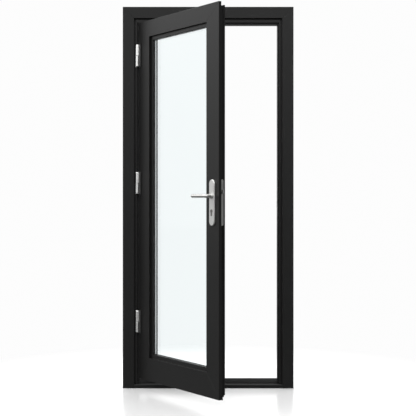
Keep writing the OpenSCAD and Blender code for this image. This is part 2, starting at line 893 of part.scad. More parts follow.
module outer_handle_plate() {
    post_short = 6;
    color(steel) on_leaf() {
        difference() {
            union() {
                handle_plate_shape(true);
                for (z = post_z) {
                    through(lever_w, z, post_r, -cut, leaf_t - post_short);
                }
            }
            for (z = post_z) {
                through(lever_w, z, plate_screw[0] + running_gap, 2, leaf_t);
            }
        }
    }
}

module inner_handle_plate() {
    color(steel) on_leaf() difference() {
        on_back() handle_plate_shape(false);
        handle_plate_screw_places() screw_hole(plate_screw);
    }
}

module handle_plate_screw_places() {
    for (z = post_z) {
        translate([lever_w, leaf_t + plate_t, z]) rotate([-90, 0, 0]) children();
    }
}

module handle_plate_screws() {
    color(steel) on_leaf() handle_plate_screw_places() screw(plate_screw);
}

module cylinder_body() {
    color(steel) on_leaf() difference() {
        plan(lever_w, cylinder_z, cylinder_y[0], cylinder_y[1]) euro_profile();
        through(lever_w, cylinder_z, plug_r + running_gap, cylinder_y[0] - cut, cylinder_y[1] + cut);
        through(lever_w, cylinder_z, cam_r + 1, lock_q - cam_t / 2 - way, lock_q + cam_t / 2 + way);
        translate([lever_w - cut, lock_q, lock_screw_z]) rotate([0, 90, 0])
            cylinder(r = lock_screw[0] + running_gap, h = 2 * cylinder_tab_w);
    }
}

// ---------- moving lock parts ----------

// One lever from the leaf's front face towards the viewer, turning down into a level bar
module lever_shape() {
    elbow = 15;
    neck_low = -lever_reach + elbow;
    collar_r = 12;
    collar_t = 4.6;
    collar_gap = 0.4;
    socket = 18;
    difference() {
        union() {
            through(lever_w, lever_z, lever_r, neck_low, -plate_t / 2);
            through(lever_w, lever_z, collar_r, -plate_t - collar_gap - collar_t, -plate_t - collar_gap);
            translate([lever_w - elbow, neck_low, lever_z]) mirror([0, 1, 0])
                rotate_extrude(angle = 90) translate([elbow, 0]) circle(lever_r);
            translate([lever_w - elbow, -lever_reach, lever_z]) rotate([0, -90, 0])
                cylinder(r = lever_r, h = lever_len - elbow - lever_r);
            translate([lever_w - lever_len + lever_r, -lever_reach, lever_z]) sphere(lever_r);
        }
        block([lever_w - spindle / 2 - running_gap, -plate_t - socket, lever_z - spindle / 2 - running_gap],
            [lever_w + spindle / 2 + running_gap, 0, lever_z + spindle / 2 + running_gap]);
    }
}

module outer_lever() {
    color(steel) on_leaf() lever_shape();
}

module lever_spindle() {
    front = -plate_t - 17;
    back = leaf_t - 2;
    s = spindle / 2;
    color(steel) on_leaf() block([lever_w - s, front, lever_z - s], [lever_w + s, back, lever_z + s]);
}

arm_len = 24;
arm_w = 6;

module lock_follower() {
    inside = case_t / 2 - case_wall - way;
    s = spindle / 2 + running_gap;
    color(grey_metal) on_leaf() difference() {
        union() {
            through(lever_w, lever_z, hub_r, lock_q - inside, lock_q + inside);
            through(lever_w, lever_z, hub_r - 2, lock_q - case_t / 2 - 2, lock_q + case_t / 2 + 2);
            block([lever_w - arm_w / 2, lock_q - 1, lever_z],
                [lever_w + arm_w / 2, lock_q + inside, lever_z + arm_len]);
        }
        block([lever_w - s, -cut, lever_z - s], [lever_w + s, leaf_t + cut, lever_z + s]);
    }
}

// The latch's head, a thin tail past the follower's arm, and the lug that the arm pushes
module latch_bolt() {
    inside = case_t / 2 - case_wall - way;
    head_len = 14;
    nose = [2, 1.5];
    bevel_start = 4;
    tail_h = 5;
    tail_y1 = lock_q - 1.5;
    lug_t = 5;
    lug_x = lever_w - arm_w / 2 - 0.5;
    y0 = lock_q - latch_thick / 2;
    y1 = lock_q + latch_thick / 2;
    back = body_edge - head_len;
    tip = body_edge + latch_out;
    color(steel) on_leaf() {
        translate([0, 0, latch_z - latch_tall / 2]) linear_extrude(latch_tall)
            polygon([[back, y0], [tip - nose[0], y0], [tip, y0 + nose[1]],
                [body_edge + bevel_start, y1], [back, y1]]);
        block([lug_x - lug_t, lock_q - inside, latch_z - tail_h], [back + cut, tail_y1, latch_z + tail_h]);
        block([lug_x - lug_t, lock_q - inside, latch_z - tail_h], [lug_x, lock_q + inside, latch_z + tail_h]);
    }
}

module dead_bolt() {
    length = 50;
    tip = body_edge - assembly_gap;
    color(steel) on_leaf() block(
        [tip - length, lock_q - bolt_thick / 2, bolt_z - bolt_tall / 2],
        [tip, lock_q + bolt_thick / 2, bolt_z + bolt_tall / 2]);
}

module cylinder_plugs() {
    key_w = 2.2;
    key_h = 8;
    key_deep = 20;
    middle = cam_t / 2 + assembly_gap;
    front = [cylinder_y[0] + way, lock_q - middle];
    back = [lock_q + middle, cylinder_y[1] - way];
    color(grey_metal) on_leaf() for (span = [front, back]) {
        difference() {
            through(lever_w, cylinder_z, plug_r, span[0], span[1]);
            for (y = cylinder_y) {
                block([lever_w - key_w / 2, y - key_deep, cylinder_z - key_h / 2],
                    [lever_w + key_w / 2, y + key_deep, cylinder_z + key_h / 2]);
            }
        }
    }
}

module cylinder_cam() {
    lobe = 5;
    color(steel) on_leaf() {
        through(lever_w, cylinder_z, plug_r + 2, lock_q - cam_t / 2, lock_q + cam_t / 2);
        block([lever_w - lobe / 2, lock_q - cam_t / 2, cylinder_z - cam_r],
            [lever_w + lobe / 2, lock_q + cam_t / 2, cylinder_z]);
    }
}

// ---------- strike ----------

strike_t = 2.5;
strike_w = 26;
strike_len = 190;
strike_z = leaf_floor_gap + (latch_z + bolt_z) / 2;
strike_shift = 3;
strike_screw = [2, 14, 4];
jamb_face_x = frame_w - stop_edge;

// The opening for a bolt through the strike and the jamb's wall, drawn at the closed leaf's heights
module strike_pocket(z, tall) {
    play = 1.2;
    half_y = latch_thick / 2 + play;
    half_z = tall / 2 + play;
    in_frame() translate([0, lock_q, leaf_floor_gap + z])
        block([jamb_face_x - strike_t - cut, -half_y, -half_z], [jamb_face_x + bolt_throw, half_y, half_z]);
}

module strike_screw_places() {
    inset = 12;
    in_frame() for (z = [strike_z - strike_len / 2 + inset, strike_z + strike_len / 2 - inset]) {
        translate([jamb_face_x - strike_t, lock_q + strike_shift, z]) rotate([0, -90, 0]) children();
    }
}

module strike_plate() {
    color(steel) difference() {
        in_frame() translate([0, lock_q + strike_shift, strike_z])
            block([jamb_face_x - strike_t, -strike_w / 2, -strike_len / 2],
                [jamb_face_x, strike_w / 2, strike_len / 2]);
        strike_pocket(latch_z, latch_tall);
        strike_pocket(bolt_z, bolt_tall);
        strike_screw_places() screw_hole(strike_screw);
    }
}

module strike_screws() {
    color(steel) strike_screw_places() screw(strike_screw);
}

hinge_jamb();
lock_jamb();
frame_head();
frame_corner_cleats();
threshold_ramp();
threshold_upstand();
frame_gasket("left");  // hinge_jamb_gasket
frame_gasket("right");  // lock_jamb_gasket
frame_gasket("top");  // head_gasket
strike_plate();
strike_screws();
frame_hinge(0);  // frame_hinge_low
frame_hinge(1);  // frame_hinge_mid
frame_hinge(2);  // frame_hinge_top
frame_hinge_screws();
hinge_stile();
lock_stile();
top_rail();
bottom_rail();
leaf_corner_cleats();
pane(glass_front);  // outer_pane
pane(glass_front + pane_t + pane_space);  // inner_pane
spacer_bar();
pane_edge_seal();
bead("left");  // bead_hinge_side
bead("right");  // bead_lock_side
bead("top");  // bead_top
bead("bottom");  // bead_bottom
outer_glazing_gasket();
inner_glazing_gasket();
glazing_packers();
leaf_hinge(0);  // leaf_hinge_low
leaf_hinge(1);  // leaf_hinge_mid
leaf_hinge(2);  // leaf_hinge_top
hinge_pins();
hinge_washers();
hinge_covers();
leaf_hinge_screws();
seal_carrier();
bottom_wiper();
lock_case();
lock_faceplate();
faceplate_screws();
outer_handle_plate();
inner_handle_plate();
handle_plate_screws();
cylinder_body();
cylinder_screw();
outer_lever();
lever_spindle();
lock_follower();
latch_bolt();
dead_bolt();
cylinder_plugs();
cylinder_cam();
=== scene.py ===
"""Finishes, seals, fastenings and light for a glazed metal door in its frame.

Every size below is in metres. The door's front faces -Y, and the leaf stands open about the hinge
axis, so pieces on the leaf are drawn in the leaf's own directions and then laid over the CAD parts.
"""

import json
import logging
import math
from dataclasses import dataclass
from enum import Enum
from typing import Sequence

import bmesh
import bpy
from mathutils import Matrix, Vector


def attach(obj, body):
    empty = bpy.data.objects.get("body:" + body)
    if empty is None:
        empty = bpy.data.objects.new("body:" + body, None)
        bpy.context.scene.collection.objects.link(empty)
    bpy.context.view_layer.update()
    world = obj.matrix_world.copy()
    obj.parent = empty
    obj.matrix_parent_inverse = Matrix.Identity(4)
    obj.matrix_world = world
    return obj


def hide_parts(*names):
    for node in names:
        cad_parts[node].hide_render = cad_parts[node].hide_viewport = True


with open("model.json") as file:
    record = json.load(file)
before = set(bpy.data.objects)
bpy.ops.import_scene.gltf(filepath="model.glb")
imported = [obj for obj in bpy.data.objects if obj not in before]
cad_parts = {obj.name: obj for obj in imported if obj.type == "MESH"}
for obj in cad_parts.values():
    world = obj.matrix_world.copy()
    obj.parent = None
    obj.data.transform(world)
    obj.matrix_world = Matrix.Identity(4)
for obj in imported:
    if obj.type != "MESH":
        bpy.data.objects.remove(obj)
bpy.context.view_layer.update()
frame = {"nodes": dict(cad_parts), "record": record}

LOG = logging.getLogger("glass_door")
MM = 0.001

Colour = tuple[float, float, float]


class Body(Enum):
    """The bodies that the new pieces ride on."""

    FRAME = "frame"
    LEAF = "leaf"


class Axis(Enum):
    """The direction along which a brushed or drawn finish runs, in object space."""

    ALONG_X = (0.02, 1.0, 1.0)
    ALONG_Y = (1.0, 0.02, 1.0)
    ALONG_Z = (1.0, 1.0, 0.02)


# ---------------------------------------------------------------- shader groups


@dataclass(frozen=True)
class GroupSocket:
    """One socket of a shader group.

    Args:
        name: The socket's name.
        kind: Its socket type.
        default: Its value where nothing is linked, or None.
    """

    name: str
    kind: str
    default: float | tuple | None = None


class ShaderGroup:
    """A node group that several finishes share, built once."""

    title: str = ""
    inputs: tuple[GroupSocket, ...] = ()
    outputs: tuple[GroupSocket, ...] = ()

    def __init__(self) -> None:
        """Makes the group's tree, its sockets and its nodes."""
        self.tree = bpy.data.node_groups.new(self.title, "ShaderNodeTree")
        for in_out, sockets in (("INPUT", self.inputs), ("OUTPUT", self.outputs)):
            for spec in sockets:
                socket = self.tree.interface.new_socket(spec.name, in_out=in_out, socket_type=spec.kind)
                if spec.default is not None and in_out == "INPUT":
                    socket.default_value = spec.default
        self.source = self.tree.nodes.new("NodeGroupInput").outputs
        self.result = self.tree.nodes.new("NodeGroupOutput").inputs
        self.wire()

    def node(self, kind: str, **values: object) -> bpy.types.Node:
        """Adds a node and sets its properties.

        Args:
            kind: The node's type name.
            values: Property names and values.

        Returns:
            The new node.
        """
        made = self.tree.nodes.new(kind)
        for key, value in values.items():
            setattr(made, key, value)
        return made

    def link(self, start: bpy.types.NodeSocket, end: bpy.types.NodeSocket) -> None:
        """Links two sockets.

        Args:
            start: The output.
            end: The input.
        """
        self.tree.links.new(start, end)

    def wire(self) -> None:
        """Adds the group's nodes. Each kind of group has its own."""
        raise NotImplementedError


class PowderGrain(ShaderGroup):
    """Fine orange peel with slow changes of gloss, as on powder coat, plastic and rubber."""

    title = "powder_grain"
    inputs = (
        GroupSocket("Vector", "NodeSocketVector"),
        GroupSocket("Grain per m", "NodeSocketFloat", 1400.0),
        GroupSocket("Height", "NodeSocketFloat", 0.15),
        GroupSocket("Roughness", "NodeSocketFloat", 0.4),
        GroupSocket("Spread", "NodeSocketFloat", 0.05),
        GroupSocket("Colour", "NodeSocketColor", (0.03, 0.03, 0.03, 1.0)),
        GroupSocket("Shade", "NodeSocketFloat", 0.1),
    )
    outputs = (
        GroupSocket("Colour", "NodeSocketColor"),
        GroupSocket("Roughness", "NodeSocketFloat"),
        GroupSocket("Normal", "NodeSocketVector"),
    )

    def wire(self) -> None:
        """Feeds a fine noise to the bump and a slow one to gloss and colour."""
        fine = self.node("ShaderNodeTexNoise")
        fine.inputs["Detail"].default_value = 3.0
        slow = self.node("ShaderNodeTexNoise")
        slow.inputs["Scale"].default_value = 3.5
        slow.inputs["Detail"].default_value = 2.0
        for noise in (fine, slow):
            self.link(self.source["Vector"], noise.inputs["Vector"])
        self.link(self.source["Grain per m"], fine.inputs["Scale"])
        bump = self.node("ShaderNodeBump")
        bump.inputs["Distance"].default_value = 0.1 * MM
        self.link(self.source["Height"], bump.inputs["Strength"])
        self.link(fine.outputs["Fac"], bump.inputs["Height"])
        self.link(bump.outputs["Normal"], self.result["Normal"])
        both = self.node("ShaderNodeMath", operation="MULTIPLY_ADD")
        both.inputs[1].default_value = 0.35
        self.link(fine.outputs["Fac"], both.inputs[0])
        self.link(slow.outputs["Fac"], both.inputs[2])
        centred = self.node("ShaderNodeMath", operation="SUBTRACT")
        centred.inputs[1].default_value = 0.675
        self.link(both.outputs["Value"], centred.inputs[0])
        gloss = self.node("ShaderNodeMath", operation="MULTIPLY_ADD", use_clamp=True)
        self.link(centred.outputs["Value"], gloss.inputs[0])
        self.link(self.source["Spread"], gloss.inputs[1])
        self.link(self.source["Roughness"], gloss.inputs[2])
        self.link(gloss.outputs["Value"], self.result["Roughness"])
        shade = self.node("ShaderNodeMath", operation="MULTIPLY_ADD")
        shade.inputs[2].default_value = 1.0
        self.link(centred.outputs["Value"], shade.inputs[0])
        self.link(self.source["Shade"], shade.inputs[1])
        tint = self.node("ShaderNodeVectorMath", operation="SCALE")
        self.link(self.source["Colour"], tint.inputs[0])
        self.link(shade.outputs["Value"], tint.inputs["Scale"])
        self.link(tint.outputs["Vector"], self.result["Colour"])


class BrushedLines(ShaderGroup):
    """Long fine scratches in one direction, as on drawn and satin metal."""

    title = "brushed_lines"
    inputs = (
        GroupSocket("Vector", "NodeSocketVector"),
        GroupSocket("Stretch", "NodeSocketVector", (1.0, 1.0, 1.0)),
        GroupSocket("Lines per m", "NodeSocketFloat", 2500.0),
        GroupSocket("Height", "NodeSocketFloat", 0.1),
        GroupSocket("Roughness", "NodeSocketFloat", 0.3),
        GroupSocket("Spread", "NodeSocketFloat", 0.1),
        GroupSocket("Colour", "NodeSocketColor", (0.6, 0.6, 0.6, 1.0)),
        GroupSocket("Shade", "NodeSocketFloat", 0.1),
    )
    outputs = (
        GroupSocket("Colour", "NodeSocketColor"),
        GroupSocket("Roughness", "NodeSocketFloat"),
        GroupSocket("Normal", "NodeSocketVector"),
    )

    def wire(self) -> None:
        """Stretches a noise into lines, for bump, gloss and colour."""
        stretch = self.node("ShaderNodeVectorMath", operation="MULTIPLY")
        self.link(self.source["Vector"], stretch.inputs[0])
        self.link(self.source["Stretch"], stretch.inputs[1])
        lines = self.node("ShaderNodeTexNoise")
        lines.inputs["Detail"].default_value = 4.0
        self.link(stretch.outputs["Vector"], lines.inputs["Vector"])
        self.link(self.source["Lines per m"], lines.inputs["Scale"])
        bump = self.node("ShaderNodeBump")
        bump.inputs["Distance"].default_value = 0.05 * MM
        self.link(self.source["Height"], bump.inputs["Strength"])
        self.link(lines.outputs["Fac"], bump.inputs["Height"])
        self.link(bump.outputs["Normal"], self.result["Normal"])
        centred = self.node("ShaderNodeMath", operation="SUBTRACT")
        centred.inputs[1].default_value = 0.5
        self.link(lines.outputs["Fac"], centred.inputs[0])
        gloss = self.node("ShaderNodeMath", operation="MULTIPLY_ADD", use_clamp=True)
        self.link(centred.outputs["Value"], gloss.inputs[0])
        self.link(self.source["Spread"], gloss.inputs[1])
        self.link(self.source["Roughness"], gloss.inputs[2])
        self.link(gloss.outputs["Value"], self.result["Roughness"])
        shade = self.node("ShaderNodeMath", operation="MULTIPLY_ADD")
        shade.inputs[2].default_value = 1.0
        self.link(centred.outputs["Value"], shade.inputs[0])
        self.link(self.source["Shade"], shade.inputs[1])
        tint = self.node("ShaderNodeVectorMath", operation="SCALE")
        self.link(self.source["Colour"], tint.inputs[0])
        self.link(shade.outputs["Value"], tint.inputs["Scale"])
        self.link(tint.outputs["Vector"], self.result["Colour"])


# ---------------------------------------------------------------- finishes


@dataclass(frozen=True)
class Finish:
    """What every finish has: a name, a base colour and a gloss.

    Args:
        title: The material's name.
        colour: Its base colour, linear.
        roughness: The middle of its roughness.
    """

    title: str
    colour: Colour
    roughness: float

    def start(self) -> tuple[bpy.types.Material, bpy.types.Node, bpy.types.NodeSocket]:
        """Makes an empty material with one Principled BSDF.

        Returns:
            The material, the shader node and the object coordinates' socket.
        """
        material = bpy.data.materials.new(self.title)
        material.use_nodes = True
        tree = material.node_tree
        tree.nodes.clear()
        output = tree.nodes.new("ShaderNodeOutputMaterial")
        shader = tree.nodes.new("ShaderNodeBsdfPrincipled")
        tree.links.new(shader.outputs["BSDF"], output.inputs["Surface"])
        coords = tree.nodes.new("ShaderNodeTexCoord")
        return material, shader, coords.outputs["Object"]

    def surface(self, group: ShaderGroup, values: dict[str, object],
                fixed: dict[str, float]) -> bpy.types.Material:
        """Makes the material from a shared group and the shader's own constants.

        Args:
            group: The shader group that varies the surface.
            values: The group's input values.
            fixed: Constant values for the shader's own sockets.

        Returns:
            The material.
        """
        material, shader, coords = self.start()
        tree = material.node_tree
        effect = tree.nodes.new("ShaderNodeGroup")
        effect.node_tree = group.tree
        tree.links.new(coords, effect.inputs["Vector"])
        effect.inputs["Colour"].default_value = (*self.colour, 1.0)
        effect.inputs["Roughness"].default_value = self.roughness
        for name, value in values.items():
            effect.inputs[name].default_value = value
        tree.links.new(effect.outputs["Colour"], shader.inputs["Base Color"])
        tree.links.new(effect.outputs["Roughness"], shader.inputs["Roughness"])
        tree.links.new(effect.outputs["Normal"], shader.inputs["Normal"])
        for name, value in fixed.items():
            shader.inputs[name].default_value = value
        return material


@dataclass(frozen=True)
class GrainyFinish(Finish):
    """Powder coat, plastic or rubber.

    Args:
        grain: Grains per metre.
        height: Strength of the grain's relief.
        spread: How far the gloss wanders.
        shade: How far the colour wanders.
        specular: The shader's specular level.
    """

    grain: float = 1400.0
    height: float = 0.15
    spread: float = 0.06
    shade: float = 0.12
    specular: float = 0.5

    def build(self, group: ShaderGroup) -> bpy.types.Material:
        """Makes the material.

        Args:
            group: The shader group that varies its surface.

        Returns:
            The material.
        """
        values = {"Grain per m": self.grain, "Height": self.height, "Spread": self.spread,
                  "Shade": self.shade}
        return self.surface(group, values, {"Specular IOR Level": self.specular})


@dataclass(frozen=True)
class MetalFinish(Finish):
    """Bare, plated or anodised metal with lines in one direction.

    Args:
        run: The direction of the lines.
        lines: Lines per metre.
        height: Strength of the lines' relief.
        spread: How far the gloss wanders.
        shade: How far the colour wanders.
    """

    run: Axis = Axis.ALONG_Z
    lines: float = 2500.0
    height: float = 0.1
    spread: float = 0.12
    shade: float = 0.12

    def build(self, group: ShaderGroup) -> bpy.types.Material:
        """Makes the material.

        Args:
            group: The shader group that varies its surface.

        Returns:
            The material.
        """
        values = {"Stretch": self.run.value, "Lines per m": self.lines, "Height": self.height,
                  "Spread": self.spread, "Shade": self.shade}
        return self.surface(group, values, {"Metallic": 1.0})


@dataclass(frozen=True)
class GlassFinish(Finish):
    """Clear float glass with a faint tint and almost no haze.

    Args:
        ior: Index of refraction.
        haze: How far the roughness rises where the pane has been wiped.
    """

    ior: float = 1.25
    haze: float = 0.015

    def build(self) -> bpy.types.Material:
        """Returns the material."""
        material, shader, coords = self.start()
        tree = material.node_tree
        wiped = tree.nodes.new("ShaderNodeTexNoise")
        wiped.inputs["Scale"].default_value = 2.0
        tree.links.new(coords, wiped.inputs["Vector"])
        haze = tree.nodes.new("ShaderNodeMath")
        haze.operation = "MULTIPLY_ADD"
        haze.inputs[1].default_value = self.haze
        haze.inputs[2].default_value = self.roughness
        tree.links.new(wiped.outputs["Fac"], haze.inputs[0])
        tree.links.new(haze.outputs["Value"], shader.inputs["Roughness"])
        shader.inputs["Base Color"].default_value = (*self.colour, 1.0)
        shader.inputs["Transmission Weight"].default_value = 1.0
        shader.inputs["IOR"].default_value = self.ior
        return material


class Finishes:
    """All of the door's materials, made once."""

    def __init__(self) -> None:
        """Builds the shader groups and every finish from them."""
        grain = PowderGrain()
        lines = BrushedLines()
        self.coat = GrainyFinish("satin_black_coat", (0.008, 0.008, 0.0079), 0.34, specular=0.25).build(grain)
        self.plastic = GrainyFinish("black_plastic", (0.014, 0.014, 0.014), 0.5, grain=2200.0,
                                    height=0.25).build(grain)
        self.rubber = GrainyFinish("seal_rubber", (0.008, 0.008, 0.0082), 0.62, grain=900.0,
                                   height=0.3, specular=0.35).build(grain)
        self.sealant = GrainyFinish("edge_sealant", (0.01, 0.01, 0.01), 0.7, grain=500.0,
                                    height=0.6, specular=0.3).build(grain)
        self.hinge = MetalFinish("bright_hinge", (0.93, 0.93, 0.92), 0.3).build(lines)
        self.handle = MetalFinish("satin_handle", (0.53, 0.53, 0.52), 0.36, run=Axis.ALONG_X,
                                  lines=1800.0).build(lines)
        self.plate = MetalFinish("satin_plate", (0.75, 0.75, 0.74), 0.36, lines=1800.0).build(lines)
        self.lock = MetalFinish("plated_lock_steel", (0.55, 0.55, 0.54), 0.32).build(lines)
        self.nickel = MetalFinish("satin_nickel", (0.24, 0.235, 0.23), 0.34, run=Axis.ALONG_Y).build(lines)
        self.spacer = MetalFinish("spacer_foil", (0.80, 0.80, 0.80), 0.4).build(lines)
        # Near-black finish for the spacer's dots: painted shade standing in for the shade inside the spacer's
        # small recesses.
        self.dark = GrainyFinish("painted_recess_shade", (0.004, 0.004, 0.004), 0.8, specular=0.2).build(grain)
        self.glass = GlassFinish("float_glass", (0.965, 0.99, 0.992), 0.0).build()


# ---------------------------------------------------------------- meshes


def set_smooth(obj: bpy.types.Object, angle: float = 32.0) -> None:
    """Shades a mesh smooth, with a crease at every sharp edge.

    Args:
        obj: The object.
        angle: The angle in degrees past which an edge is a crease.
    """
    mesh = obj.data
    mesh.polygons.foreach_set("use_smooth", [True] * len(mesh.polygons))
    mesh.set_sharp_from_angle(angle=math.radians(angle))
    mesh.update()


def new_object(name: str, mesh: bmesh.types.BMesh, material: bpy.types.Material,
               angle: float = 32.0) -> bpy.types.Object:
    """Turns a bmesh into an object in the scene.

    Args:
        name: The piece's name.
        mesh: The bmesh, which is freed.
        material: The piece's finish.
        angle: The crease angle in degrees.

    Returns:
        The new object.
    """
    data = bpy.data.meshes.new(name)
    mesh.to_mesh(data)
    mesh.free()
    data.materials.append(material)
    obj = bpy.data.objects.new(name, data)
    bpy.context.scene.collection.objects.link(obj)
    set_smooth(obj, angle)
    return obj


def applied(obj: bpy.types.Object) -> bpy.types.Object:
    """Replaces an object's mesh by what its modifiers make of it, and removes them.

    Args:
        obj: The object.

    Returns:
        The same object.
    """
    depsgraph = bpy.context.evaluated_depsgraph_get()
    data = bpy.data.meshes.new_from_object(obj.evaluated_get(depsgraph))
    old = obj.data
    obj.modifiers.clear()
    obj.data = data
    bpy.data.meshes.remove(old)
    return obj


# The hinge axis on the floor, and how far the leaf stands open about it.
FRAME_AXIS = Matrix.Translation((-0.389, -0.044, 0.0))
OPEN_ANGLE = math.radians(-56.0)
# Lays pieces drawn from the hinge axis of the closed leaf over the open leaf.
LEAF_AXIS = FRAME_AXIS @ Matrix.Rotation(OPEN_ANGLE, 4, "Z")
# Lays pieces drawn from the closed leaf's lower left front corner over the open leaf.
LEAF_PLACE = LEAF_AXIS @ Matrix.Translation((0.002, 0.009, 0.057))
# Lays pieces drawn from the frame's lower left front corner.
FRAME_PLACE = Matrix.Translation((-0.47, -0.035, 0.0))

BODY_OF = {node: body for body, members in frame["record"]["behaviour"]["bodies"].items() for node in members}


MERGE_DISTANCE = 0.002 * MM
FLAT_ANGLE = math.radians(0.6)
SHARP_ANGLE = math.radians(38.0)
ROUNDING_STEPS = 3


def softened(node: str, radius: float, material: bpy.types.Material) -> None:
    """Replaces a CAD part by a copy with joined flat faces and rounded sharp edges.

    Args:
        node: The CAD node.
        radius: Radius of the rounded edges.
        material: The copy's finish.
    """
    mesh = bmesh.new()
    mesh.from_mesh(frame["nodes"][node].data)
    bmesh.ops.remove_doubles(mesh, verts=mesh.verts, dist=MERGE_DISTANCE)
    bmesh.ops.dissolve_limit(mesh, angle_limit=FLAT_ANGLE, verts=mesh.verts, edges=mesh.edges)
    obj = new_object(f"{node}_soft", mesh, material)
    bevel = obj.modifiers.new("edges", "BEVEL")
    bevel.width = radius
    bevel.segments = ROUNDING_STEPS
    bevel.limit_method = "ANGLE"
    bevel.angle_limit = SHARP_ANGLE
    bevel.use_clamp_overlap = False
    weighted = obj.modifiers.new("shading", "WEIGHTED_NORMAL")
    weighted.keep_sharp = True
    applied(obj)
    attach(obj, BODY_OF[node])
    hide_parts(node)


def dress(node: str, material: bpy.types.Material) -> None:
    """Gives a CAD node that stays its finish.

    Args:
        node: The CAD node.
        material: Its finish.
    """
    data = frame["nodes"][node].data
    data.materials.clear()
    data.materials.append(material)


# ---------------------------------------------------------------- metalwork


@dataclass(frozen=True)
class SoftEdges:
    """Parts whose edges are rounded alike.

    Args:
        nodes: The CAD nodes.
        radius: Radius of their edges.
        finish: Name of the finish in Finishes.
    """

    nodes: tuple[str, ...]
    radius: float
    finish: str


class Metalwork:
    """The extrusions, hinges, handles and lock parts, from the CAD parts themselves."""

    soft: tuple[SoftEdges, ...] = (
        SoftEdges(("hinge_jamb", "lock_jamb", "frame_head"), 0.6 * MM, "coat"),
        SoftEdges(("hinge_stile", "lock_stile", "top_rail", "bottom_rail"), 0.6 * MM, "coat"),
        SoftEdges(("bead_hinge_side", "bead_lock_side", "bead_top", "bead_bottom"), 0.4 * MM, "coat"),
        SoftEdges(("threshold_ramp",), 0.8 * MM, "coat"),
        SoftEdges(("seal_carrier",), 0.3 * MM, "coat"),
        SoftEdges(("threshold_upstand", "hinge_covers"), 0.6 * MM, "plastic"),
        SoftEdges(("frame_hinge_low", "frame_hinge_mid", "frame_hinge_top"), 0.4 * MM, "hinge"),
        SoftEdges(("leaf_hinge_low", "leaf_hinge_mid", "leaf_hinge_top"), 0.4 * MM, "hinge"),
        SoftEdges(("outer_handle_plate", "inner_handle_plate"), 0.8 * MM, "plate"),
        SoftEdges(("outer_lever",), 0.3 * MM, "handle"),
        SoftEdges(("lock_faceplate", "strike_plate"), 0.3 * MM, "lock"),
        SoftEdges(("latch_bolt", "dead_bolt"), 0.4 * MM, "lock"),
        SoftEdges(("cylinder_body", "cylinder_plugs"), 0.25 * MM, "nickel"),
    )
    plain: dict[str, tuple[str, ...]] = {
        "spacer": ("frame_corner_cleats", "leaf_corner_cleats", "spacer_bar"),
        "plastic": ("glazing_packers", "hinge_washers"),
        "sealant": ("pane_edge_seal",),
        "rubber": ("bottom_wiper",),
        "lock": ("lock_case", "lock_follower", "lever_spindle", "hinge_pins", "cylinder_cam"),
        "glass": ("outer_pane", "inner_pane"),
    }

    def __init__(self, finishes: Finishes) -> None:
        """Keeps the finishes.

        Args:
            finishes: The door's materials.
        """
        self.finishes = finishes

    def build(self) -> None:
        """Rounds the parts in view and dresses the rest."""
        for group in self.soft:
            for node in group.nodes:
                softened(node, group.radius, getattr(self.finishes, group.finish))
        for finish, nodes in self.plain.items():
            for node in nodes:
                dress(node, getattr(self.finishes, finish))


# ---------------------------------------------------------------- seals


@dataclass(frozen=True)
class Station:
    """A corner or an end of a seal's path in the plane of the door.

    Args:
        x: Place across the door.
        z: Height.
        inward: Which way the profile's first axis points there.
    """

    x: float
    z: float
    inward: tuple[float, float]


@dataclass(frozen=True)
class Opening:
    """A rectangle that a seal runs round.

    Args:
        left: Its left side.
        right: Its right side.
        low: Its lower side.
        high: Its upper side.
    """

    left: float
    right: float
    low: float
    high: float

    def ring(self) -> list[Station]:
        """Returns the four corners in order."""
        return [Station(self.left, self.low, (1, 1)), Station(self.left, self.high, (1, -1)),
                Station(self.right, self.high, (-1, -1)), Station(self.right, self.low, (-1, 1))]

    def arch(self) -> list[Station]:
        """Returns a path up the left side, across the top and down the right side."""
        return [Station(self.left, self.low, (1, 0)), Station(self.left, self.high, (1, -1)),
                Station(self.right, self.high, (-1, -1)), Station(self.right, self.low, (-1, 0))]


def seal_mesh(stations: Sequence[Station], profile: Sequence[tuple[float, float]],
              closed: bool) -> bmesh.types.BMesh:
    """Sweeps a closed profile along a path of straight runs with cut corners.

    Args:
        stations: The path's corners and ends.
        profile: Distances inwards from the path, and depths.
        closed: Whether the path joins up.

    Returns:
        The new bmesh.
    """
    mesh = bmesh.new()
    rings = [[mesh.verts.new((at.x + u * at.inward[0], depth, at.z + u * at.inward[1]))
              for u, depth in profile] for at in stations]
    following = rings[1:] + rings[:1] if closed else rings[1:]
    for one, two in zip(rings, following):
        for i in range(len(profile)):
            j = (i + 1) % len(profile)
            mesh.faces.new((one[i], one[j], two[j], two[i]))
    if not closed:
        mesh.faces.new(rings[0])
        mesh.faces.new(reversed(rings[-1]))
    bmesh.ops.recalc_face_normals(mesh, faces=mesh.faces)
    return mesh


